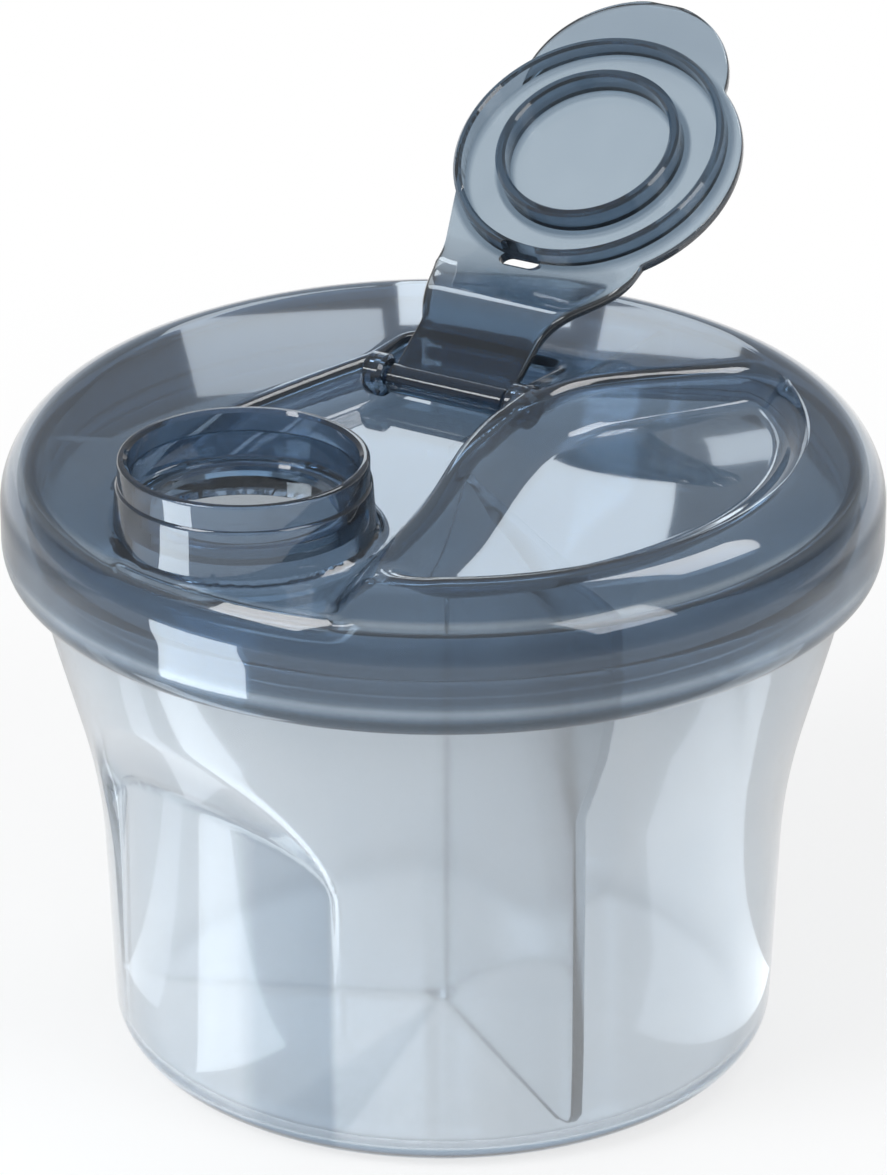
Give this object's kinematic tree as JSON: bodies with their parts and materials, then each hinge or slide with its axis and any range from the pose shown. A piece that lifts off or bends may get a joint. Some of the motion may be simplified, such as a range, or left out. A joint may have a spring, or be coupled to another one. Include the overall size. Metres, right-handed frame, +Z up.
{
  "type": "formula dispenser",
  "caption": "Round translucent formula dispenser cup with an inner divider, a push-on tinted lid with a pouring spout, and a hinged spout cap shown open.",
  "frame": {"origin": "centre of the cup's base, on the surface that it stands on", "axes": "+Z up along the cup's axis, -Y towards the front, +X to the right; the open cap swings up and back from the lid"},
  "size_m": [0.1, 0.1158, 0.1025],
  "materials": {
    "cup_plastic": "translucent, glossy",
    "divider_plastic": "translucent, glossy",
    "lid_plastic": "tinted, clear, polished",
    "cap_plastic": "tinted, clear, polished"
  },
  "bodies": {
    "cup": {"cup": "cup_plastic"},
    "divider": {"divider": "divider_plastic"},
    "lid": {"lid": "lid_plastic"},
    "spout_cap": {"spout_cap": "cap_plastic"}
  },
  "joints": [
    {"name": "lift", "type": "slide", "parent": "cup", "child": "divider", "axis": [0, 0, 1], "range_m": [0, 0.08]},
    {"name": "lid_turn", "type": "hinge", "parent": "divider", "child": "lid", "pos_m": [0, 0, 0.07], "axis": [0, 0, 1], "continuous": true},
    {"name": "cap_flip", "type": "hinge", "parent": "lid", "child": "spout_cap", "pos_m": [-0.00145, 0.01197, 0.0743], "axis": [-0.866, 0.5, 0], "range_deg": [-148, 0]}
  ]
}
